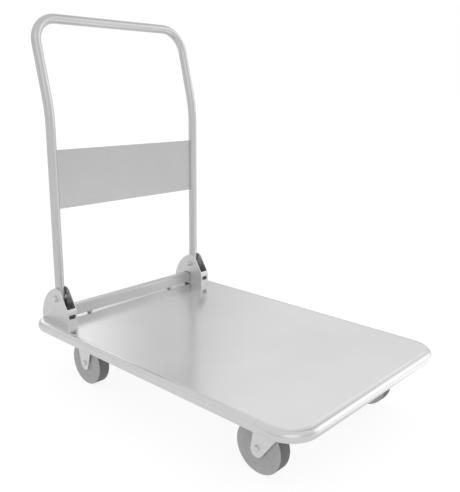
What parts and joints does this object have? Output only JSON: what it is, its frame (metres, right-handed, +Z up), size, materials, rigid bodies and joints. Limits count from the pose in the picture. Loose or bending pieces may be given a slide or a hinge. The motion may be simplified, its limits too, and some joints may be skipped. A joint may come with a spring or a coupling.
{
  "type": "folding platform cart",
  "caption": "Low flat stainless platform cart on swivel and rigid casters, with a fold-down tubular push handle, kick panel and foot release bar.",
  "frame": {"origin": "on the floor under the centre of the deck", "axes": "+X to the front, away from the handle; +Y to the left of the person pushing; +Z up"},
  "size_m": [0.91, 0.6, 0.958],
  "materials": {
    "deck_stainless": "bright satin",
    "tube_stainless": "polished tube",
    "sheet_stainless": "brushed",
    "frame_stainless": "mill",
    "zinc_plated_steel": "zinc plated",
    "tyre_grey": "matte grey",
    "wheel_core_grey": "moulded grey",
    "bush_nylon": "natural nylon"
  },
  "bodies": {
    "deck": {"deck_pan": "deck_stainless", "front_cross_member": "frame_stainless", "rear_cross_member": "frame_stainless", "stiffener_left": "frame_stainless", "stiffener_right": "frame_stainless", "bracket_left": "sheet_stainless", "bracket_right": "sheet_stainless", "bracket_screws": "zinc_plated_steel", "bracket_nuts": "zinc_plated_steel", "guide_rivets": "zinc_plated_steel", "pivot_bolts": "zinc_plated_steel", "pivot_nuts": "zinc_plated_steel", "pivot_washers": "zinc_plated_steel", "spring_posts": "zinc_plated_steel", "caster_plate_left": "zinc_plated_steel", "caster_plate_right": "zinc_plated_steel", "swivel_balls_left": "zinc_plated_steel", "swivel_balls_right": "zinc_plated_steel", "kingpin_left": "zinc_plated_steel", "kingpin_right": "zinc_plated_steel", "caster_bolts": "zinc_plated_steel", "caster_nuts": "zinc_plated_steel", "rigid_fork_left": "zinc_plated_steel", "rigid_fork_right": "zinc_plated_steel", "rear_axle_bolts": "zinc_plated_steel", "rear_axle_nuts": "zinc_plated_steel", "rear_axle_sleeves": "zinc_plated_steel"},
    "handle": {"handle_tube": "tube_stainless", "handle_panel": "sheet_stainless", "pivot_bushes": "zinc_plated_steel", "lock_plates": "sheet_stainless"},
    "release_bar": {"release_bar": "sheet_stainless", "lock_lugs": "sheet_stainless", "release_springs": "zinc_plated_steel"},
    "swivel_left": {"swivel_fork_left": "zinc_plated_steel", "front_axle_bolt_left": "zinc_plated_steel", "front_axle_nut_left": "zinc_plated_steel", "front_axle_sleeve_left": "zinc_plated_steel"},
    "swivel_right": {"swivel_fork_right": "zinc_plated_steel", "front_axle_bolt_right": "zinc_plated_steel", "front_axle_nut_right": "zinc_plated_steel", "front_axle_sleeve_right": "zinc_plated_steel"},
    "wheel_front_left": {"tyre_front_left": "tyre_grey", "wheel_core_front_left": "wheel_core_grey", "wheel_bush_front_left": "bush_nylon"},
    "wheel_front_right": {"tyre_front_right": "tyre_grey", "wheel_core_front_right": "wheel_core_grey", "wheel_bush_front_right": "bush_nylon"},
    "wheel_rear_left": {"tyre_rear_left": "tyre_grey", "wheel_core_rear_left": "wheel_core_grey", "wheel_bush_rear_left": "bush_nylon"},
    "wheel_rear_right": {"tyre_rear_right": "tyre_grey", "wheel_core_rear_right": "wheel_core_grey", "wheel_bush_rear_right": "bush_nylon"}
  },
  "joints": [
    {"name": "handle_fold", "type": "hinge", "parent": "deck", "child": "handle", "pos_m": [-0.3705, 0, 0.232], "axis": [0, 1, 0], "range_deg": [0, 96]},
    {"name": "release_press", "type": "slide", "parent": "deck", "child": "release_bar", "axis": [0, 0, -1], "range_m": [0, 0.004], "stiffness_N_per_m": 2500, "springref_m": -0.004, "deforming": ["release_springs"]},
    {"name": "swivel_left_turn", "type": "hinge", "parent": "deck", "child": "swivel_left", "pos_m": [0.34, 0.209, 0.127], "axis": [0, 0, 1], "continuous": true},
    {"name": "swivel_right_turn", "type": "hinge", "parent": "deck", "child": "swivel_right", "pos_m": [0.34, -0.209, 0.127], "axis": [0, 0, 1], "continuous": true},
    {"name": "wheel_front_left_spin", "type": "hinge", "parent": "swivel_left", "child": "wheel_front_left", "pos_m": [0.305, 0.209, 0.06], "axis": [0, 1, 0], "continuous": true},
    {"name": "wheel_front_right_spin", "type": "hinge", "parent": "swivel_right", "child": "wheel_front_right", "pos_m": [0.305, -0.209, 0.06], "axis": [0, 1, 0], "continuous": true},
    {"name": "wheel_rear_left_spin", "type": "hinge", "parent": "deck", "child": "wheel_rear_left", "pos_m": [-0.298, 0.209, 0.06], "axis": [0, 1, 0], "continuous": true},
    {"name": "wheel_rear_right_spin", "type": "hinge", "parent": "deck", "child": "wheel_rear_right", "pos_m": [-0.298, -0.209, 0.06], "axis": [0, 1, 0], "continuous": true}
  ]
}
